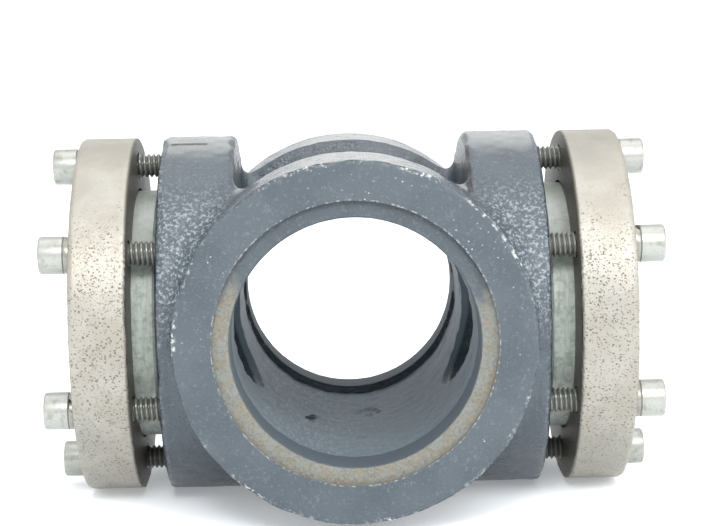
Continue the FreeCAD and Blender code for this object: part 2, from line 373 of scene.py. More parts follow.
def turned(profile: Sequence[tuple[float, float]], segments: int) -> tuple[np.ndarray, np.ndarray]:
    """Turn a closed outline about the X axis.

    Args:
        profile: (place along X, radius) points, anticlockwise seen from +Z with the radius up.
        segments: steps round the axis.

    Returns:
        Vertices and quads.
    """
    outline = np.array(profile)
    verts = spun(outline[:, 0], outline[:, 1], circle(segments)[:, None])
    return verts.reshape(-1, 3), grid_quads(segments, len(outline), True)


def capped(
    rings: Sequence[np.ndarray], flipped: bool = False
) -> tuple[np.ndarray, list[list[int]]]:
    """Skin a row of equal closed rings and shut its two ends.

    Args:
        rings: the vertices of each ring, in turning order.
        flipped: whether every face is turned over.

    Returns:
        Vertices, and faces: the quads, then the first ring and the last.
    """
    count, last = len(rings[0]), (len(rings) - 1) * len(rings[0])
    faces = grid_quads(len(rings), count, False).tolist()
    faces += [list(range(count)), list(range(last, last + count))[::-1]]
    return np.concatenate(rings), [face[::-1] for face in faces] if flipped else faces


def grid_quads(rows: int, columns: int, joined: bool) -> np.ndarray:
    """Quads over closed rows of vertices, with the last row joined to the first or not."""
    row, column = np.indices((rows if joined else rows - 1, columns)).reshape(2, -1)
    beside = (column + 1) % columns
    start, after = row * columns, (row + 1) % rows * columns
    return np.stack([start + column, start + beside, after + beside, after + column], 1)


def arc(
    centre: tuple[float, float], radius: float, start: float, end: float, steps: int
) -> list[tuple[float, float]]:
    """Points along an arc, from one angle in degrees to another."""
    angles = [math.radians(start + (end - start) * index / steps) for index in range(steps + 1)]
    return [(centre[0] + radius * math.cos(a), centre[1] + radius * math.sin(a)) for a in angles]


def add_piece(
    name: str,
    verts: np.ndarray,
    faces: Sequence[Sequence[int]] | np.ndarray,
    materials: Sequence[bpy.types.Material],
    crease: float = 38.0,
) -> bpy.types.Object:
    """Make a mesh object, smooth except across creases.

    Args:
        name: the piece's name.
        verts: vertex places in metres.
        faces: vertex numbers of each face.
        materials: the piece's materials, in slot order.
        crease: angle in degrees past which an edge stays sharp.

    Returns:
        The new object, linked into the scene.
    """
    mesh = bpy.data.meshes.new(name)
    mesh.from_pydata(np.asarray(verts).tolist(), [], [list(map(int, face)) for face in faces])
    mesh.validate()
    mesh.polygons.foreach_set("use_smooth", [True] * len(mesh.polygons))
    mesh.set_sharp_from_angle(angle=math.radians(crease))
    for material in materials:
        mesh.materials.append(material)
    piece = bpy.data.objects.new(name, mesh)
    bpy.context.scene.collection.objects.link(piece)
    return piece


def settle(piece: bpy.types.Object, node: str) -> None:
    """Let a piece stand for a node of the frame.

    Args:
        piece: the visible piece.
        node: the node that it replaces.
    """
    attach(piece, ROOT_BODY)
    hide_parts(node)
    LOG.info("%s stands for %s: %d faces", piece.name, node, len(piece.data.polygons))


# --- Shader maths ---


class Wire:
    """A value on a node socket; arithmetic on it adds Math nodes."""

    def __init__(self, graph: "Graph", socket: bpy.types.NodeSocket) -> None:
        """Wrap one output socket of a graph."""
        self.graph = graph
        self.socket = socket

    def _join(self, operation: str, *values: "Wire | float") -> "Wire":
        """Add a Math node that takes this and other values."""
        inputs = dict(enumerate(values))
        return self.graph.value("ShaderNodeMath", {"operation": operation}, inputs)

    def __add__(self, other: "Wire | float") -> "Wire":
        """Sum."""
        return self._join("ADD", self, other)

    __radd__ = __add__

    def __mul__(self, other: "Wire | float") -> "Wire":
        """Product."""
        return self._join("MULTIPLY", self, other)

    __rmul__ = __mul__

    def __sub__(self, other: "Wire | float") -> "Wire":
        """Difference."""
        return self._join("SUBTRACT", self, other)

    def __rsub__(self, other: "Wire | float") -> "Wire":
        """Difference from a number."""
        return self._join("SUBTRACT", other, self)

    def __pow__(self, other: "Wire | float") -> "Wire":
        """Power."""
        return self._join("POWER", self, other)

    def __abs__(self) -> "Wire":
        """Size without sign."""
        return self._join("ABSOLUTE", self)

    def least(self, other: "Wire | float") -> "Wire":
        """The smaller of two values."""
        return self._join("MINIMUM", self, other)

    def most(self, other: "Wire | float") -> "Wire":
        """The larger of two values."""
        return self._join("MAXIMUM", self, other)

    def rise(self, low: float, high: float) -> "Wire":
        """Ramp smoothly from 0 at low to 1 at high."""
        settings = {"interpolation_type": "SMOOTHSTEP"}
        return self.graph.value(
            "ShaderNodeMapRange", settings, {"Value": self, "From Min": low, "From Max": high}
        )

    def fall(self, low: float, high: float) -> "Wire":
        """Ramp smoothly from 1 at low to 0 at high."""
        return 1 - self.rise(low, high)

    def past(self, edge: float, start: float, end: float) -> "Wire":
        """Ramp smoothly from 0 to 1 between two offsets from an edge."""
        return self.rise(edge + start, edge + end)

    def band(self, middle: float, reach: float, blur: float) -> "Wire":
        """1 within reach of a middle value, fading to 0 over blur."""
        return abs(self - middle).fall(reach, reach + blur)


class Graph:
    """One material's node tree, with a Principled shader that it feeds."""

    def __init__(self, name: str) -> None:
        """Start a material with an empty tree and its output."""
        self.material = bpy.data.materials.new(name)
        self.material.use_nodes = True
        self.tree = self.material.node_tree
        self.tree.nodes.clear()
        self.shader = self.node("ShaderNodeBsdfPrincipled", {}, {})
        output = self.node("ShaderNodeOutputMaterial", {}, {})
        self.tree.links.new(self.shader.outputs[0], output.inputs[0])

    def node(
        self, kind: str, settings: dict[str, object], inputs: dict[str | int, object]
    ) -> bpy.types.Node:
        """Add a node.

        Args:
            kind: the node's type name.
            settings: its own properties, set first.
            inputs: values or links for its sockets, by name or number.

        Returns:
            The new node.
        """
        made = self.tree.nodes.new(kind)
        for key, setting in settings.items():
            setattr(made, key, setting)
        for key, item in inputs.items():
            self.feed(made.inputs[key], item)
        return made

    def feed(self, socket: bpy.types.NodeSocket, item: object) -> None:
        """Link a wire to a socket, or set the socket's own value."""
        if isinstance(item, Wire):
            self.tree.links.new(item.socket, socket)
        elif isinstance(item, tuple) and len(item) == 3 and socket.type == "RGBA":
            socket.default_value = (*item, 1.0)
        else:
            socket.default_value = item

    def value(
        self,
        kind: str,
        settings: dict[str, object],
        inputs: dict[str | int, object],
        output: str | int = 0,
    ) -> Wire:
        """Add a node and return one of its outputs."""
        return Wire(self, self.node(kind, settings, inputs).outputs[output])

    def place(self) -> Wire:
        """The point's place in the frame, in millimetres."""
        metres = self.value("ShaderNodeTexCoord", {}, {}, "Object")
        inputs = {0: metres, "Scale": 1 / MM}
        return self.value("ShaderNodeVectorMath", {"operation": "SCALE"}, inputs)

    def split(self, vector: Wire) -> tuple[Wire, Wire, Wire]:
        """The three parts of a vector."""
        made = self.node("ShaderNodeSeparateXYZ", {}, {0: vector})
        return tuple(Wire(self, output) for output in made.outputs)

    def upward(self) -> Wire:
        """How far the surface faces up, from -1 to 1."""
        normal = self.value("ShaderNodeNewGeometry", {}, {}, "Normal")
        return self.split(normal)[2]

    def noise(
        self, size: float, detail: float = 2.0, rough: float = 0.5, seed: float = 0.0
    ) -> Wire:
        """Noise from 0 to 1 with lumps about size millimetres across."""
        inputs = {"Vector": self.place(), "W": seed, "Scale": 1 / size, "Detail": detail}
        inputs["Roughness"] = rough
        return self.value("ShaderNodeTexNoise", {"noise_dimensions": "4D"}, inputs, "Fac")

    def grains(self, size: float, seed: float = 0.0) -> Wire:
        """Distance to the nearest of many scattered points, in steps of size millimetres."""
        inputs = {"Vector": self.place(), "W": seed, "Scale": 1 / size}
        return self.value("ShaderNodeTexVoronoi", {"voronoi_dimensions": "4D"}, inputs, "Distance")

    def streaks(self, sizes: tuple[float, float, float], seed: float, detail: float = 2.0) -> Wire:
        """Noise drawn out along the axes by unlike sizes in millimetres."""
        scale = tuple(1 / size for size in sizes)
        stretched = self.value(
            "ShaderNodeVectorMath", {"operation": "MULTIPLY"}, {0: self.place(), 1: scale}
        )
        inputs = {"Vector": stretched, "W": seed, "Scale": 1.0, "Detail": detail}
        return self.value("ShaderNodeTexNoise", {"noise_dimensions": "4D"}, inputs, "Fac")

    def tint(self, mask: Wire, under: "Wire | Colour", over: "Wire | Colour") -> Wire:
        """Lay one colour over another through a mask."""
        return self.value("ShaderNodeMix", {"data_type": "RGBA"}, {0: mask, 6: under, 7: over}, 2)

    def bump(self, height: Wire) -> Wire:
        """Turn a height in millimetres into a bent normal."""
        return self.value("ShaderNodeBump", {}, {"Strength": 1.0, "Distance": MM, "Height": height})

    def finish(self, **sockets: object) -> bpy.types.Material:
        """Feed the shader's sockets, named with underscores for spaces."""
        for key, item in sockets.items():
            self.feed(self.shader.inputs[key.replace("_", " ")], item)
        return self.material


# --- Finishes ---


@dataclass(frozen=True)
class Spot:
    """Where a shaded point of the casting lies, in millimetres."""

    x: Wire
    y: Wire
    z: Wire
    across: Wire
    along: Wire
    flow: Wire
    window: Wire

    @classmethod
    def of(cls, graph: Graph) -> "Spot":
        """Measure the point along the axes and from the flow and window axes."""
        x, y, z = graph.split(graph.place())
        flow, window = (x * x + z * z) ** 0.5, (y * y + z * z) ** 0.5
        return cls(x, y, z, abs(x), abs(y), flow, window)


@dataclass(frozen=True)
class Zones:
    """Masks of the casting's cut and cored surfaces, from 0 to 1."""

    end: Wire
    seat: Wire
    bored: Wire
    cored: Wire
    machined: Wire


@dataclass(frozen=True)
class CastPaint:
    """Satin blue-grey paint over rough cast iron, thinner and scuffed on the machined faces."""

    paint: Colour = srgb(61, 70, 77)
    # The next colour is the paint's darker tone, for its blotches, and also for painted shade low
    # down and in the dips of the bosses' lumps.
    deep: Colour = srgb(46, 54, 62)
    pale: Colour = srgb(98, 106, 109)
    dust: Colour = srgb(158, 160, 156)
    chip: Colour = srgb(196, 198, 192)
    sealant: Colour = srgb(111, 113, 107)
    ochre: Colour = srgb(112, 103, 85)
    grit: Colour = srgb(68, 70, 68)
    land: Colour = srgb(72, 82, 90)
    core: Colour = srgb(116, 131, 141)
    # The next colour is painted highlight: glints on the bosses' front and on the chamber's floor.
    crest: Colour = srgb(140, 148, 153)
    # The next colour is near-black, for the cast line and for painted shade in a crevice.
    void: Colour = srgb(14, 16, 18)
    half_length: float = 61.7
    hub_radius: float = 44.15
    seat_radius: float = 34.4
    seat_depth: float = 1.5
    port_radius: float = 30.25
    chamber_half: float = 48.3
    boss_face: float = 49.0
    boss_radius: float = 47.25

    def build(self) -> bpy.types.Material:
        """Make the material, with masks that follow the casting's surfaces."""
        graph = Graph("cast_paint")
        spot = Spot.of(graph)
        zones = self._zones(spot)
        fine, lumps = graph.noise(0.5, 2, 0.6, 5), graph.noise(0.9, 3, 0.7, 8)
        colour = self._painted(graph, spot, zones)
        colour = self._chipped(graph, colour, spot, zones, fine)
        # A cast line, and painted shade in a crevice, both near-black.
        colour = graph.tint(self._marks(graph, spot), colour, self.void)
        colour = self._sealed(graph, colour, spot, zones, fine)
        # Painted glints and painted shade on the bosses' front, and painted glints on the chamber's
        # floor.
        colour = self._rubbed(graph, colour, spot, zones, lumps)
        cast = (lumps * 0.42 + graph.noise(4.5, 2, 0.5, 9) * 0.6) * (1 - zones.cored * 0.75)
        scuffed = graph.noise(0.8, 3, 0.6, 14) * (zones.seat * 0.3 + 0.09)
        height = cast * (1 - zones.machined) + scuffed * zones.machined
        grain = graph.noise(1.6, 3, 0.6, 2) + fine
        cut = zones.machined * 0.3 + zones.seat * 0.2 + zones.bored * 0.3 + zones.cored * 0.44
        return graph.finish(
            Base_Color=colour,
            Roughness=(grain * 0.08 + cut + 0.08).least(0.95),
            Normal=graph.bump(height),
            IOR=1.5,
        )

    def _zones(self, spot: Spot) -> Zones:
        """Tell the end faces, gasket recesses, bores, chamber and boss faces apart.

        Args:
            spot: where the point lies.

        Returns:
            A mask for each kind of surface.
        """
        end = spot.along.past(self.half_length, -0.45, -0.2)
        ring = (1 - spot.flow.past(self.seat_radius, 0, 0.15)) * spot.flow.past(
            self.port_radius, 0.1, 0.3
        )
        seat = ring * spot.along.past(self.half_length - self.seat_depth, -0.3, -0.1)
        inside = 1 - spot.flow.past(self.port_radius, 0.15, 0.4)
        bored = inside * spot.along.past(self.chamber_half, -0.2, 0) * (1 - seat)
        cored = (1 - spot.flow.past(self.port_radius, 2.5, 3.5)) * (
            1 - spot.along.past(self.chamber_half, -0.5, 0)
        )
        boss_face = spot.across.past(self.boss_face, -0.35, -0.1)
        return Zones(end, seat, bored, cored, end.most(bored).most(seat).most(boss_face))

    def _painted(self, graph: Graph, spot: Spot, zones: Zones) -> Wire:
        """Blotch and mottle the paint, with its own tones in the bores and painted shade low down.

        Args:
            graph: the material's nodes.
            spot: where the point lies.
            zones: masks of the surfaces.

        Returns:
            The paint's colour, with the painted shade.
        """
        blotch, mottle = graph.noise(14, 3), graph.noise(0.9, 3, 0.75, 41)
        colour = graph.tint(blotch.rise(0.4, 0.66) * 0.6, self.paint, self.deep)
        colour = graph.tint(mottle.rise(0.5, 0.72) * 0.55, colour, self.pale)
        colour = graph.tint(mottle.fall(0.3, 0.5) * 0.5, colour, self.land)
        colour = graph.tint(zones.bored * 0.85, colour, self.land)
        colour = graph.tint(zones.cored * 0.7, colour, self.core)
        # Painted shade: the rough outside turns darker towards the bottom.
        rough = (1 - zones.machined) * (1 - zones.cored)
        return graph.tint(spot.z.fall(-44, -10) * rough * 0.55, colour, self.deep)

    def _chipped(self, graph: Graph, colour: Wire, spot: Spot, zones: Zones, fine: Wire) -> Wire:
        """Lay dust on the upper sides, specks on the end faces and bare chips on the rims.

        Args:
            graph: the material's nodes.
            colour: the paint so far.
            spot: where the point lies.
            zones: masks of the surfaces.
            fine: fine noise.

        Returns:
            The worn colour.
        """
        outside = spot.flow.past(self.seat_radius, 1, 3)
        dust = graph.upward().rise(0.88, 1.0) * (fine * 0.6 + 0.25) * outside
        colour = graph.tint(dust, colour, self.dust)
        hub_rim = spot.flow.past(self.hub_radius, -1.3, -0.7)
        hub_rim = hub_rim * spot.along.past(self.half_length, -1.1, -0.4)
        boss_rim = spot.window.past(self.boss_radius, -1.6, -0.7)
        boss_rim = boss_rim * spot.across.past(self.boss_face, -1.7, -0.7)
        seat_rim = spot.flow.band(self.seat_radius + 0.1, 0.15, 0.25)
        seat_rim = seat_rim * spot.along.past(self.half_length, -0.6, -0.2)
        patches = graph.noise(9, 2, 0.5, 20).rise(0.42, 0.66)
        rims = (hub_rim.most(boss_rim * 0.3) * patches).most(seat_rim * 0.4)
        chips = rims * graph.noise(1.1, 3, 0.6, 21).rise(0.48, 0.62)
        crowd = graph.noise(9, 2, 0.5, 23) + spot.z * 0.003
        specks = graph.grains(1.1, 4).fall(0.08, 0.24) * crowd.rise(0.48, 0.66)
        specks = specks * zones.end * (1 - zones.seat)
        return graph.tint((chips * 0.8).most(specks * 0.6).least(1.0), colour, self.chip)

    def _marks(self, graph: Graph, spot: Spot) -> Wire:
        """Mask of a short cast line on one boss and of painted shade in the crevice beside the
        other.
        """
        wander = graph.noise(5, 2, 0.5, 51) * 1.6 - 0.8
        line = (spot.z + wander * 0.15).band(45.7, 0.1, 0.2) * spot.x.band(-41.8, 4.4, 0.6)
        # Painted shade: near-black along the crevice where the right boss meets the body.
        crevice = (spot.x + wander * 0.6).band(29.9, 0.5, 0.5) * spot.z.band(38.6, 4.2, 2.0)
        return line.most(crevice) * spot.y.fall(-6, -4)

    def _sealed(self, graph: Graph, colour: Wire, spot: Spot, zones: Zones, fine: Wire) -> Wire:
        """Leave old sealant on the gasket recess, worn away along its top, and grit in it.

        Args:
            graph: the material's nodes.
            colour: the paint so far.
            spot: where the point lies.
            zones: masks of the surfaces.
            fine: fine noise.

        Returns:
            The colour with the sealant.
        """
        kept = graph.noise(7, 3, 0.6, 31) * 30 - spot.z - 4
        residue = zones.seat * kept.rise(-6, 6) * (fine * 0.3 + 0.8).least(1.0)
        colour = graph.tint(residue, colour, self.sealant)
        stain = graph.noise(2.6, 4, 0.7, 32).rise(0.44, 0.6) * residue * 0.75
        colour = graph.tint(stain, colour, self.ochre)
        grit = graph.noise(0.6, 4, 0.75, 11).rise(0.44, 0.64) * zones.seat * 0.5
        return graph.tint(grit, colour, self.grit)

    def _rubbed(self, graph: Graph, colour: Wire, spot: Spot, zones: Zones, lumps: Wire) -> Wire:
        """Paint glints on the lumps of the bosses' front, with painted shade in their dips, and
        glint streaks on the chamber's floor.

        Args:
            graph: the material's nodes.
            colour: the paint so far.
            spot: where the point lies.
            zones: masks of the surfaces.
            lumps: the noise that also makes the skin's bumps.

        Returns:
            The colour with the painted glints and painted shade.
        """
        # Painted glints: the band of the bosses' front where the key lamp's reflection falls gets
        # light crests, with painted shade in the dips.
        front = spot.z.band(18, 9, 13) * spot.across.past(self.hub_radius, -18, -8)
        front = front * (1 - zones.machined) * spot.y.fall(-3, 3)
        colour = graph.tint(lumps.fall(0.34, 0.5) * front * 0.5, colour, self.deep)
        colour = graph.tint(lumps.rise(0.49, 0.64) * front * 0.75, colour, self.crest)
        # Painted glints: streaks on the lower floor of the chamber, stronger towards the left.
        drawn = graph.streaks((0.9, 2.8, 0.9), 17, 3).rise(0.5, 0.64)
        drawn = drawn * zones.cored * spot.z.fall(-24, -14)
        return graph.tint(drawn * (spot.x.fall(-14, 16) * 0.5 + 0.15), colour, self.crest)


@dataclass(frozen=True)
class PlatedPlate:
    """Dull zinc plate gone warm and speckled with rust."""

    plate: Colour = srgb(143, 139, 129)
    bright: Colour = srgb(153, 150, 142)
    grey: Colour = srgb(131, 130, 124)
    rust: Colour = srgb(84, 62, 44)
    shade: Colour = srgb(82, 79, 70)
    back: float = 56.2

    def build(self) -> bpy.types.Material:
        """Make the material: blotched plate, fine rust specks low down, turning marks and painted
        shade on the back face.
        """
        graph = Graph("plated_plate")
        x, _, z = graph.split(graph.place())
        blotch, fine = graph.noise(9, 4, 0.6, 3), graph.noise(0.6, 2, 0.6, 6)
        colour = graph.tint(blotch.rise(0.38, 0.66), self.plate, self.bright)
        colour = graph.tint(graph.noise(22, 3, 0.5, 9).rise(0.5, 0.72) * 0.6, colour, self.grey)
        spread = graph.noise(6, 3, 0.6, 12) * 60 - z
        pits = graph.grains(0.8, 7).fall(0.16, 0.4) * spread.rise(-12, 18)
        pits = pits.most(graph.grains(0.5, 8).fall(0.18, 0.44) * spread.rise(-12, 24) * 0.8)
        colour = graph.tint(pits * (fine * 0.5 + 0.5), colour, self.rust)
        # Painted shade: the ring's back face, towards the body, is tinted dark.
        back_face_shade = abs(x).fall(self.back + 0.2, self.back + 0.9)
        colour = graph.tint(back_face_shade * 0.85, colour, self.shade)
        turning = graph.noise(0.5, 3, 0.6, 15) * 0.07
        height = turning + blotch * 0.1 - pits * 0.14
        return graph.finish(
            Base_Color=colour,
            Metallic=0.45,
            Roughness=(fine * 0.3 + blotch * 0.15 + 0.24).least(0.9),
            Normal=graph.bump(height),
        )


@dataclass(frozen=True)
class BrightZinc:
    """Bright zinc plating on fasteners, with patchy grime and painted shade in the thread roots."""

    name: str = "bright_zinc"
    plate: Colour = srgb(158, 160, 154)
    grime: Colour = srgb(112, 110, 101)
    # The next colour is painted shade for the thread roots.
    hollow: Colour = srgb(102, 103, 98)
    seed: float = 0.0

    def build(self) -> bpy.types.Material:
        """Make the material: patchy bright plate with dull grime and painted shade in the thread
        roots.
        """
        graph = Graph(self.name)
        cloud = graph.noise(2.4, 3, 0.55, self.seed)
        fine = graph.noise(0.3, 2, 0.6, self.seed + 3)
        grime = cloud.rise(0.5, 0.7) * 0.5 + fine.rise(0.5, 0.7) * 0.4
        # Painted shade: the thread_root mark darkens the hollows between the threads.
        root = graph.value("ShaderNodeAttribute", {"attribute_name": ROOT_MARK}, {}, "Fac")
        colour = graph.tint(grime, self.plate, self.grime)
        return graph.finish(
            Base_Color=graph.tint(root, colour, self.hollow),
            Metallic=0.6,
            Roughness=cloud * 0.2 + fine * 0.14 + 0.18,
            Normal=graph.bump(cloud * 0.03 + fine * 0.012),
        )


@dataclass(frozen=True)
class ClearGlass:
    """Toughened glass, faintly green, with smears on its faces."""

    tint: Colour = srgb(226, 240, 232)
    smear: Colour = srgb(206, 214, 208)

    def build(self) -> bpy.types.Material:
        """Make the material: clear body with light smears and a very slight waviness."""
        graph = Graph("clear_glass")
        smears = graph.streaks((5, 5, 1.6), 2.0, 3).rise(0.5, 0.75)
        return graph.finish(
            Base_Color=graph.tint(smears * 0.5, self.tint, self.smear),
            Roughness=smears * 0.12 + 0.02,
            Normal=graph.bump(graph.noise(14, 1, 0.5, 4) * 0.02),
            Transmission_Weight=1.0,
            IOR=1.52,
        )


@dataclass(frozen=True)
class GroundGlass:
    """The ground rim of a glass disc: pale green-grey and matt."""

    ground: Colour = srgb(184, 193, 184)
    shade: Colour = srgb(128, 138, 129)
    # The next colour serves as painted shade on the upward-facing rim.
    grime: Colour = srgb(104, 110, 103)

    def build(self) -> bpy.types.Material:
        """Make the material: frosted glass with grinding lines, dirt and painted shade where it
        faces up.
        """
        graph = Graph("ground_glass")
        lines, cloud = graph.streaks((0.7, 6, 6), 6.0, 3), graph.noise(2.2, 4, 0.75, 8)
        colour = graph.tint(lines.rise(0.4, 0.7) * 0.4, self.ground, self.shade)
        colour = graph.tint(cloud.rise(0.46, 0.64) * 0.75, colour, self.shade)
        # Painted shade: the rim is darker where it faces up.
        upward_shade = graph.upward().rise(0.2, 0.9) * 0.8
        return graph.finish(
            Base_Color=graph.tint(upward_shade, colour, self.grime),
            Roughness=lines * 0.2 + cloud * 0.2 + 0.25,
            Normal=graph.bump(lines * 0.05 + cloud * 0.08),
            Transmission_Weight=0.2,
            IOR=1.52,
        )


@dataclass(frozen=True)
class FibreSheet:
    """Pressed dark fibre gasket sheet."""

    fibre: Colour = srgb(52, 54, 56)
    fleck: Colour = srgb(104, 106, 104)

    def build(self) -> bpy.types.Material:
        """Make the material: dark matted fibres with paler flecks."""
        graph = Graph("fibre_sheet")
        matted = graph.noise(0.5, 4, 0.65, 2)
        flecks = graph.grains(0.9, 5).fall(0.1, 0.26)
        return graph.finish(
            Base_Color=graph.tint(flecks * matted, self.fibre, self.fleck),
            Roughness=matted * 0.2 + 0.68,
            Normal=graph.bump(matted * 0.12),
        )


@dataclass(frozen=True)
class Backdrop:
    """Plain pale matt floor."""

    pale: Colour = (0.92, 0.945, 0.965)
    faint: Colour = (0.89, 0.92, 0.945)

    def build(self) -> bpy.types.Material:
        """Make the material: near-white with a barely visible unevenness."""
        graph = Graph("backdrop")
        cloud = graph.noise(180, 2)
        return graph.finish(
            Base_Color=graph.tint(cloud, self.pale, self.faint),
            Roughness=cloud * 0.1 + 0.75,
            Normal=graph.bump(graph.noise(2, 2) * 0.01),
            Specular_IOR_Level=0.2,
            Emission_Color=graph.tint(cloud, self.pale, self.faint),
            Emission_Strength=0.28,
        )


# --- Pieces ---


def bolt_holes(y: np.ndarray, z: np.ndarray, radius: float) -> list[np.ndarray]:
    """Distance to each of the round holes on the bolt circle, from the top one round."""
    angles = [math.tau * (0.25 - index / SCREWS) for index in range(SCREWS)]
    centres = [(BOLT_CIRCLE * math.cos(angle), BOLT_CIRCLE * math.sin(angle)) for angle in angles]
    return [np.hypot(y - place_y, z - place_z) - radius for place_y, place_z in centres]


def faced(verts: np.ndarray, side: Side, centre: Vector) -> np.ndarray:
    """Turn a piece drawn facing +X to its own side and move it to its centre."""
    return verts * np.array([side.value, side.value, 1]) + np.array(centre)


def seat_of(node: str, side: Side) -> tuple[Vector, float]:
    """Find a loose piece's inner end on its own axis, and its length along X.

    Args:
        node: the frame's node.
        side: the window that it belongs to.

    Returns:
        The centre of its end nearest the casting, and its length.
    """
    low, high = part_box(node)
    middle = (low + high) / 2
    inner = low.x if side is Side.RIGHT else high.x
    return Vector((inner, middle.y, middle.z)), high.x - low.x


@dataclass
class Casting:
    """The cast body: hubs, waist and window bosses, with its ports, chamber and tapped holes."""

    material: bpy.types.Material
    node: str = "body_casting"
    step: float = 0.92 * MM
    port_radius: float = 30.25 * MM
    land: float = 13.4 * MM
    seat_radius: float = 34.4 * MM
    seat_depth: float = 1.5 * MM
    hub_radius: float = 44.15 * MM
    hub_start: float = 27.0 * MM
    hub_round: float = 1.2 * MM
    waist_radius: float = 39.5 * MM
    chamber_radius: float = 31.0 * MM
    chamber_drop: float = 1.5 * MM
    boss_back: float = 29.7 * MM
    boss_round: float = 2.0 * MM
    tapped_radius: float = 3.225 * MM
    tapped_depth: float = 16.0 * MM
    fillet: float = 5.5 * MM
    rim_wear: float = 0.45
    rim_patch: float = 5 * MM
    rim_seed: int = 1
    roughness: float = 0.34 * MM
    skin_layers: Sequence[tuple[float, float]] = ((2.6 * MM, 0.6), (7 * MM, 0.4))
    skin_seed: int = 2
    core_layers: Sequence[tuple[float, float]] = ((2.3 * MM, 0.65), (6 * MM, 0.35))
    core_seed: int = 4
    face_margin: float = 0.4 * MM
    face_blend: float = 1.6 * MM
    window_share: float = 0.4
    pit_share: float = 0.7
    pits: Sequence[tuple[float, float]] = ((3.7 * MM, 18.0 * MM), (-9.9 * MM, 3.0 * MM))
    pit_reach: tuple[float, float, float] = (3.2 * MM, 4.8 * MM, 0.8 * MM)
    size: Vector = field(init=False)

    def build(self) -> None:
        """Mesh the casting and let it stand for its node."""
        low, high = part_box(self.node)
        self.size = high
        verts, quads = Contourer(low, high, self.step).mesh(self.distance)
        verts = np.clip(verts, np.array(low), np.array(high))
        settle(add_piece("casting", verts, quads, [self.material]), self.node)

    def distance(self, points: np.ndarray) -> np.ndarray:
        """Signed distance to the casting, negative in the metal."""
        return np.maximum(self._skin(points), -self._hollows(points))

    def _skin(self, points: np.ndarray) -> np.ndarray:
        """Distance to the casting's outside, as if it were solid."""
        x, y, z = points.T
        across, along = np.abs(x), np.abs(y)
        flow, window = np.hypot(x, z), np.hypot(y, z)
        worn = 1 + self.rim_wear * lattice_noise(points, self.rim_patch, self.rim_seed)
        hub_rim, boss_rim = self.hub_round * worn, self.boss_round * worn
        hub = round_profile(flow, along, self.hub_radius, self.hub_start, self.size.y, hub_rim)
        waist = np.maximum(flow - self.waist_radius, along - self.hub_start - self.fillet)
        boss = round_profile(window, across, self.size.z, self.boss_back, self.size.x, boss_rim)
        barrel = smooth_min(hub, waist, self.fillet)
        solid = smooth_min(barrel, boss, self.fillet)
        lumps = np.maximum(1 + layered_noise(points, self.skin_layers, self.skin_seed), 0)
        from_faces = np.minimum(self.size.y - along, self.size.x - across)
        cast = np.clip((from_faces - self.face_margin) / self.face_blend, 0, 1)
        return solid + self.roughness / 2 * lumps * cast

    def _hollows(self, points: np.ndarray) -> np.ndarray:
        """Distance to everything that is cored or cut out of the casting."""
        x, y, z = points.T
        across, along = np.abs(x), np.abs(y)
        flow, window = np.hypot(x, z), np.hypot(y, z)
        chamber_half = self.size.y - self.land
        lumps = layered_noise(points, self.core_layers, self.core_seed)
        ragged = self.roughness * lumps
        cored = np.hypot(x, z + self.chamber_drop) - self.chamber_radius + ragged
        hollows = [
            np.maximum(cored, along - chamber_half),
            np.maximum(flow - self.port_radius, chamber_half - along),
            flow - self.port_radius + self.chamber_drop,
            np.maximum(flow - self.seat_radius, self.size.y - self.seat_depth - along),
            window - WINDOW_RADIUS + self.window_share * ragged,
        ]
        bottom = self.size.x - self.tapped_depth - across
        hollows += [np.maximum(hole, bottom) for hole in bolt_holes(y, z, self.tapped_radius)]
        reach = np.array(self.pit_reach)
        for place_x, place_y in self.pits:
            floor = -self.chamber_drop - math.sqrt(self.chamber_radius**2 - place_x**2)
            apart = np.linalg.norm((points - (place_x, place_y, floor)) / reach, axis=1)
            hollows.append((apart - 1 + self.pit_share * lumps) * reach.min())
        return np.minimum.reduce(hollows)


@dataclass
class Retainer:
    """A ring that clamps one glass: glass recess behind, bevelled view opening, six holes."""

    side: Side
    material: bpy.types.Material
    step: float = 0.7 * MM
    rim_round: float = 0.9 * MM
    rim_wear: float = 0.3
    rim_patch: float = 6 * MM
    recess_radius: float = 33.45 * MM
    recess_depth: float = 5.6 * MM
    view_bevel: float = 3.0 * MM
    hole_radius: float = 3.525 * MM
    wear: float = 0.08 * MM
    wear_patch: float = 3.4 * MM
    wear_limit: float = 0.3
    rim_seed: int = 40
    wear_seed: int = 45
    thickness: float = field(init=False)
    radius: float = field(init=False)

    def build(self) -> None:
        """Mesh the ring and let it stand for its node."""
        node = f"{self.side.label}_retainer"
        centre, self.thickness = seat_of(node, self.side)
        low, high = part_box(node)
        self.radius = (high.z - low.z) / 2
        reach = Vector((self.thickness, self.radius, self.radius))
        corner = Vector((0, -self.radius, -self.radius))
        verts, quads = Contourer(corner, reach, self.step).mesh(self.distance)
        verts = faced(np.clip(verts, np.array(corner), np.array(reach)), self.side, centre)
        settle(add_piece(node + "_plate", verts, quads, [self.material]), node)

    def distance(self, points: np.ndarray) -> np.ndarray:
        """Signed distance to the ring, drawn from its back face along +X."""
        x, y, z = points.T
        radial = np.hypot(y, z)
        turn = self.side.value
        uneven = self.rim_wear * lattice_noise(points, self.rim_patch, self.rim_seed + turn)
        rim = self.rim_round * (1 + uneven)
        plate = round_profile(radial, x, self.radius, 0, self.thickness, rim)
        rubbed = lattice_noise(points, self.wear_patch, self.wear_seed + turn) - self.wear_limit
        plate = plate + self.wear * np.maximum(rubbed, 0)
        bevel_start = self.thickness - self.view_bevel
        hollows = [
            np.maximum(radial - self.recess_radius, x - self.recess_depth),
            radial - VIEW_RADIUS,
            (radial - VIEW_RADIUS - (x - bevel_start)) / math.sqrt(2),
        ]
        hollows += bolt_holes(y, z, self.hole_radius)
        return np.maximum(plate, -np.minimum.reduce(hollows))


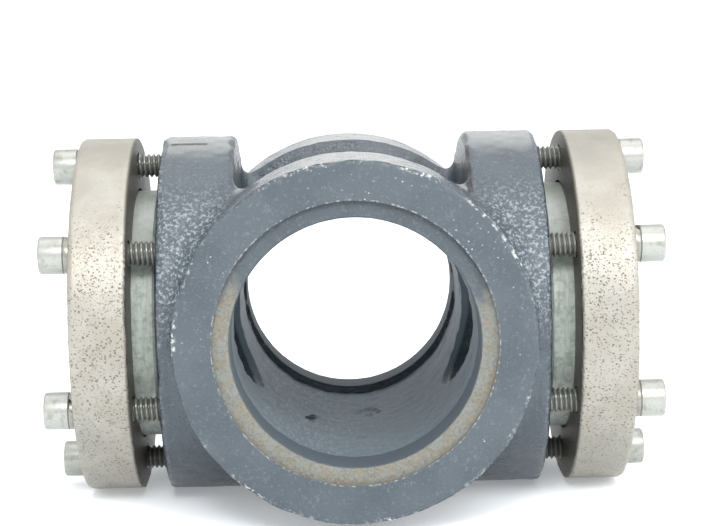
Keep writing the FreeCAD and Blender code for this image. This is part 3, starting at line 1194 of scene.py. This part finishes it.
@dataclass
class Screw:
    """A socket head cap screw, with its thread bare between the boss and the retainer."""

    side: Side
    index: int
    material: bpy.types.Material
    boss_face: float
    retainer_back: float
    segments: int = 72
    rows_per_pitch: int = 12
    pitch: float = 1.27 * MM
    thread_depth: float = 0.7 * MM
    thread_floor: float = 1.15
    thread_slope: float = 2.6
    root_gain: float = 1.6
    root_start: float = 0.25
    shank_radius: float = 3.175 * MM
    head_radius: float = 4.76 * MM
    head_height: float = 6.35 * MM
    head_round: float = 0.6 * MM
    round_steps: int = 4
    tip_bevel: float = 0.6 * MM
    socket_flats: float = 4.76 * MM
    socket_depth: float = 3.2 * MM
    lead_in: float = 0.25 * MM
    overlap: float = 1.4 * MM
    spin: float = math.radians(23)

    def build(self) -> None:
        """Sweep the screw from its tip to the floor of its socket."""
        node = f"{self.side.label}_screw_{self.index}"
        centre, length = seat_of(node, self.side)
        rows = self._shank(abs(centre.x)) + self._head(length)
        angle = circle(self.segments) + self.spin * self.index
        verts, faces = capped([spun(x, reach, angle) for x, reach in rows], flipped=True)
        verts = faced(verts, self.side, centre)
        piece = add_piece(node + "_bolt", verts, faces, [self.material], crease=32)
        # Painted shade mask: the deeper a vertex lies in the thread, the darker its colour.
        sunk = self.shank_radius - np.concatenate([reach for _, reach in rows])
        worn = np.clip(sunk / self.thread_depth * self.root_gain - self.root_start, 0, 1)
        mark = piece.data.attributes.new(ROOT_MARK, "FLOAT", "POINT")
        mark.data.foreach_set("value", worn.astype(np.float32))
        settle(piece, node)

    def _ring(self, x: float, radius: float) -> tuple[float, np.ndarray]:
        """A plain round ring."""
        return x, np.full(self.segments, radius)

    def _shank(self, tip: float) -> list[tuple[float, np.ndarray]]:
        """Rings of the shank: plain where it is hidden, threaded where it shows.

        Args:
            tip: distance of the screw's tip from the frame's middle.

        Returns:
            Each ring's place along the screw and the radius of each of its vertices.
        """
        start = self.boss_face - tip - self.overlap
        end = self.retainer_back - tip + self.overlap
        count = math.ceil((end - start) / self.pitch * self.rows_per_pitch)
        rows = [self._ring(0, self.shank_radius - self.tip_bevel)]
        rows.append(self._ring(self.tip_bevel, self.shank_radius))
        for step in range(count + 1):
            x = start + (end - start) * step / count
            phase = (x / self.pitch - circle(self.segments) / math.tau) % 1
            valley = np.clip(self.thread_floor - np.abs(phase - 0.5) * self.thread_slope, 0, 1)
            ease = min(1.0, step / self.rows_per_pitch, (count - step) / self.rows_per_pitch)
            rows.append((x, self.shank_radius - self.thread_depth * valley * ease))
        return rows

    def _head(self, length: float) -> list[tuple[float, np.ndarray]]:
        """Rings of the head, from its bearing face over the top and down its hex socket.

        Args:
            length: the screw's whole length.

        Returns:
            Each ring's place along the screw and the radius of each of its vertices.
        """
        bearing = length - self.head_height
        rows = [self._ring(bearing, self.shank_radius)]
        rows.append(self._ring(bearing, self.head_radius - self.lead_in))
        rows.append(self._ring(bearing + self.lead_in, self.head_radius))
        centre = (length - self.head_round, self.head_radius - self.head_round)
        rows += [self._ring(x, r) for x, r in arc(centre, self.head_round, 90, 0, self.round_steps)]
        half_side = math.tau / HEX_SIDES / 2
        turn = circle(self.segments) % (2 * half_side) - half_side
        hexagon = self.socket_flats / 2 / np.cos(turn)
        corner = self.socket_flats / 2 / math.cos(half_side)
        rows.append(self._ring(length, corner + self.lead_in))
        rows.append((length - self.lead_in, hexagon))
        rows.append((length - self.socket_depth, hexagon))
        rows.append(self._ring(length - self.socket_depth - self.head_round, self.lead_in))
        return rows


@dataclass
class LockWasher:
    """A spring lock washer: a split ring of square wire whose cut is slanted."""

    side: Side
    index: int
    material: bpy.types.Material
    inner_radius: float = 3.325 * MM
    split: float = 1.1 * MM
    corner: float = 0.22 * MM
    corner_steps: int = 3
    slant: float = math.radians(9)
    steps: int = 64
    spin: float = math.radians(77)

    def build(self) -> None:
        """Sweep the wire round the screw and cap its two ends."""
        node = f"{self.side.label}_lock_washer_{self.index}"
        centre, thickness = seat_of(node, self.side)
        low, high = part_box(f"{self.side.label}_screw_{self.index}")
        centre.y, centre.z = (low.y + high.y) / 2, (low.z + high.z) / 2
        low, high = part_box(node)
        outer = max(high.y - centre.y, centre.y - low.y, high.z - centre.z, centre.z - low.z)
        section = self._section(thickness, outer)
        gap = math.asin(self.split / 2 / self.inner_radius) + self.slant
        turns = np.linspace(gap, math.tau - gap, self.steps)
        angles = self.spin * self.index + self.slant * (section[:, 0] / thickness * 2 - 1)
        verts, faces = capped([spun(*section.T, turn + angles) for turn in turns])
        verts = faced(verts, self.side, centre)
        settle(add_piece(node + "_ring", verts, faces, [self.material]), node)

    def _section(self, thickness: float, outer: float) -> np.ndarray:
        """The wire's section, as (place along X, radius) points with rounded corners."""
        c = self.corner
        low, high = self.inner_radius + c, outer - c
        corners = ((thickness - c, low), (thickness - c, high), (c, high), (c, low))
        points = []
        for index, middle in enumerate(corners):
            points += arc(middle, c, 90 * (index - 1), 90 * index, self.corner_steps)
        return np.array(points)


@dataclass
class GlassDisc:
    """One sight glass: polished faces, a ground rim and ground bevels."""

    side: Side
    clear: bpy.types.Material
    ground: bpy.types.Material
    bevel: float = 0.6 * MM
    segments: int = 160

    def build(self) -> None:
        """Turn the disc, and give its rim the ground finish."""
        node = f"{self.side.label}_glass"
        centre, thickness = seat_of(node, self.side)
        low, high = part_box(node)
        radius = (high.z - low.z) / 2
        rim = [(thickness, radius - self.bevel), (thickness - self.bevel, radius)]
        rim += [(self.bevel, radius), (0, radius - self.bevel)]
        verts, faces = capped([spun(x, reach, circle(self.segments)) for x, reach in rim])
        verts = faced(verts, self.side, centre)
        piece = add_piece(node + "_disc", verts, faces, [self.clear, self.ground], crease=30)
        for polygon in piece.data.polygons:
            polygon.material_index = int(len(polygon.vertices) == 4)
        settle(piece, node)


@dataclass
class SheetGasket:
    """A flat ring cut from gasket sheet, with a slightly ragged outer edge."""

    side: Side
    role: str
    inner_radius: float
    material: bpy.types.Material
    ragged: float = 0.35 * MM
    ragged_cell: float = 1.5 * MM
    ragged_seed: int = 60
    edge: float = 0.2 * MM
    segments: int = 240

    def build(self) -> None:
        """Turn the ring and roughen its rim inwards."""
        node = f"{self.side.label}_{self.role}"
        centre, thickness = seat_of(node, self.side)
        low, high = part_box(node)
        radius = (high.z - low.z) / 2
        profile = [(0, self.inner_radius), (thickness, self.inner_radius)]
        profile += [(thickness, radius - self.edge), (thickness - self.edge, radius)]
        profile += [(self.edge, radius), (0, radius - self.edge)]
        verts, quads = turned(profile, self.segments)
        rim = np.hypot(verts[:, 1], verts[:, 2]) > radius - 2 * self.edge
        lumps = 1 + lattice_noise(verts, self.ragged_cell, self.ragged_seed)
        inset = self.ragged / 2 * lumps * rim / radius
        verts[:, 1:] *= (1 - inset)[:, None]
        piece = add_piece(node + "_sheet", faced(verts, self.side, centre), quads, [self.material])
        settle(piece, node)


# --- Studio ---


def aimed(item: bpy.types.Object, target: Vector, roll: float = 0.0) -> None:
    """Point an object's -Z at a target, with its +Y as near up as it can be, then roll it."""
    direction = target - item.location
    turn = direction.to_track_quat("-Z", "Y").to_matrix().to_4x4()
    item.rotation_euler = (turn @ Matrix.Rotation(roll, 4, "Z")).to_euler()


@dataclass
class Softbox:
    """One large soft lamp."""

    name: str
    place: Vector
    size: float
    watts: float

    def build(self, target: Vector) -> None:
        """Add the lamp, pointed at a target."""
        data = bpy.data.lights.new(self.name, "AREA")
        data.shape = "SQUARE"
        data.size = self.size
        data.energy = self.watts
        lamp = bpy.data.objects.new(self.name, data)
        lamp.location = self.place
        bpy.context.scene.collection.objects.link(lamp)
        aimed(lamp, target)


@dataclass
class Studio:
    """A pale floor, near-white surroundings and soft lamps."""

    floor: bpy.types.Material
    floor_size: float = 6.0
    sky: float = 1.12
    sky_colour: Colour = (0.98, 0.99, 1.0)
    lamps: Sequence[Softbox] = (
        Softbox("key_lamp", Vector((0.25, -1.1, 0.9)), size=0.9, watts=17.0),
        Softbox("glint_lamp", Vector((-0.1, -1.1, 0.8)), size=0.25, watts=5.0),
        Softbox("top_lamp", Vector((0.0, 0.1, 1.3)), size=1.1, watts=7.0),
        Softbox("left_lamp", Vector((-1.3, -0.4, 0.5)), size=0.8, watts=2.0),
        Softbox("right_lamp", Vector((1.3, -0.5, 0.5)), size=0.8, watts=6.0),
    )

    def build(self, ground: float) -> None:
        """Set up the floor at a height, the surroundings and the lamps."""
        half = self.floor_size / 2
        corners = ((-half, -half), (half, -half), (half, half), (-half, half))
        verts = np.array([(x, y, ground) for x, y in corners])
        floor = add_piece("studio_floor", verts, [(0, 1, 2, 3)], [self.floor])
        floor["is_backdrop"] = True
        world = bpy.data.worlds.new("studio_world")
        world.use_nodes = True
        background = world.node_tree.nodes["Background"]
        background.inputs["Color"].default_value = (*self.sky_colour, 1.0)
        background.inputs["Strength"].default_value = self.sky
        bpy.context.scene.world = world
        for lamp in self.lamps:
            lamp.build(Vector((0, 0, 0)))
        bpy.context.scene.view_settings.view_transform = "Standard"
        LOG.info("studio: floor at %.5f m, %d lamps", ground, len(self.lamps))


@dataclass
class CameraRig:
    """The camera, almost level with the flow axis and in front of one port."""

    place: Vector = Vector((-0.00655, -0.5218, 0.0745))
    target: Vector = Vector((0.0034, 0.0014, 0.0120))
    roll: float = math.radians(-1.07)
    lens: float = 96.6
    sensor: float = 36.0
    near: float = 0.02

    def build(self) -> None:
        """Add the camera and make it the scene's own."""
        data = bpy.data.cameras.new("main_camera")
        data.lens = self.lens
        data.sensor_width = self.sensor
        data.clip_start = self.near
        rig = bpy.data.objects.new("main_camera", data)
        rig.location = self.place
        bpy.context.scene.collection.objects.link(rig)
        aimed(rig, self.target, self.roll)
        bpy.context.scene.camera = rig
        LOG.info("camera: lens %.1f mm", self.lens)


def build_windows() -> None:
    """Build both windows: gaskets, glass, retainer, and their screws and washers."""
    zinc = BrightZinc().build()
    washer_zinc = BrightZinc("dull_zinc", srgb(138, 137, 130), seed=9.0).build()
    plate, sheet = PlatedPlate().build(), FibreSheet().build()
    clear, ground = ClearGlass().build(), GroundGlass().build()
    _, casting_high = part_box("body_casting")
    retainer_low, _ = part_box("right_retainer")
    for side in Side:
        SheetGasket(side, "inner_gasket", WINDOW_RADIUS, sheet).build()
        SheetGasket(side, "cushion_gasket", VIEW_RADIUS, sheet).build()
        GlassDisc(side, clear, ground).build()
        Retainer(side, plate).build()
        for index in range(1, SCREWS + 1):
            LockWasher(side, index, washer_zinc).build()
            Screw(side, index, zinc, casting_high.x, retainer_low.x).build()


def main() -> None:
    """Build the whole scene in order."""
    logging.basicConfig(level=logging.INFO, format="%(name)s: %(message)s")
    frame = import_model()
    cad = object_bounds()
    LOG.info("frame: %d nodes", len(frame["nodes"]))
    Casting(CastPaint().build()).build()
    build_windows()
    Studio(Backdrop().build()).build(cad[0].z)
    CameraRig().build()


if __name__ == "__main__":
    main()
